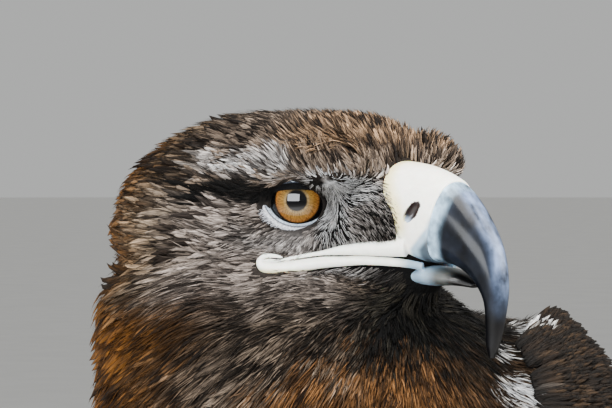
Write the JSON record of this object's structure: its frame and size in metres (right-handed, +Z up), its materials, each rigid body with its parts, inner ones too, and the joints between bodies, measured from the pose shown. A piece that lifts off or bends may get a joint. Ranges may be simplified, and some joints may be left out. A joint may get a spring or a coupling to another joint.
{
  "type": "golden eagle",
  "caption": "Life-size golden eagle standing on its own feet, wings folded, head turned to its left.",
  "frame": {"origin": "on the floor, under the middle of the bounding box", "axes": "+Z up; the breast faces -Y and the tail points to +Y; the head is turned to +X, the bird's left"},
  "size_m": [0.2564, 0.5046, 0.653],
  "materials": {
    "dark_feather": "matt, overlapping dark brown feathers",
    "gold_feather": "matt, pointed golden brown feathers",
    "body_feather": "matt, dark and warm brown feathers",
    "flight_feather": "slightly glossy dark brown vanes",
    "pale_skin": "smooth waxy bare skin, cream",
    "bill_horn": "polished blue-black horn",
    "foot_skin": "scaled yellow skin",
    "claw_horn": "polished black horn",
    "iris": "wet amber eyeball"
  },
  "bodies": {
    "root": {"head": "dark_feather", "cere": "pale_skin", "upper_bill": "bill_horn", "lower_bill": "pale_skin", "eye_right": "iris", "eye_left": "iris", "torso": "body_feather", "neck": "gold_feather", "tail": "flight_feather", "wing_left": "flight_feather", "quills_left": "flight_feather", "thigh_left": "gold_feather", "tarsus_left": "gold_feather", "foot_left": "foot_skin", "toe_inner_left": "foot_skin", "claw_inner_left": "claw_horn", "toe_middle_left": "foot_skin", "claw_middle_left": "claw_horn", "toe_outer_left": "foot_skin", "claw_outer_left": "claw_horn", "toe_hind_left": "foot_skin", "claw_hind_left": "claw_horn", "wing_right": "flight_feather", "quills_right": "flight_feather", "thigh_right": "gold_feather", "tarsus_right": "gold_feather", "foot_right": "foot_skin", "toe_inner_right": "foot_skin", "claw_inner_right": "claw_horn", "toe_middle_right": "foot_skin", "claw_middle_right": "claw_horn", "toe_outer_right": "foot_skin", "claw_outer_right": "claw_horn", "toe_hind_right": "foot_skin", "claw_hind_right": "claw_horn"}
  },
  "joints": []
}
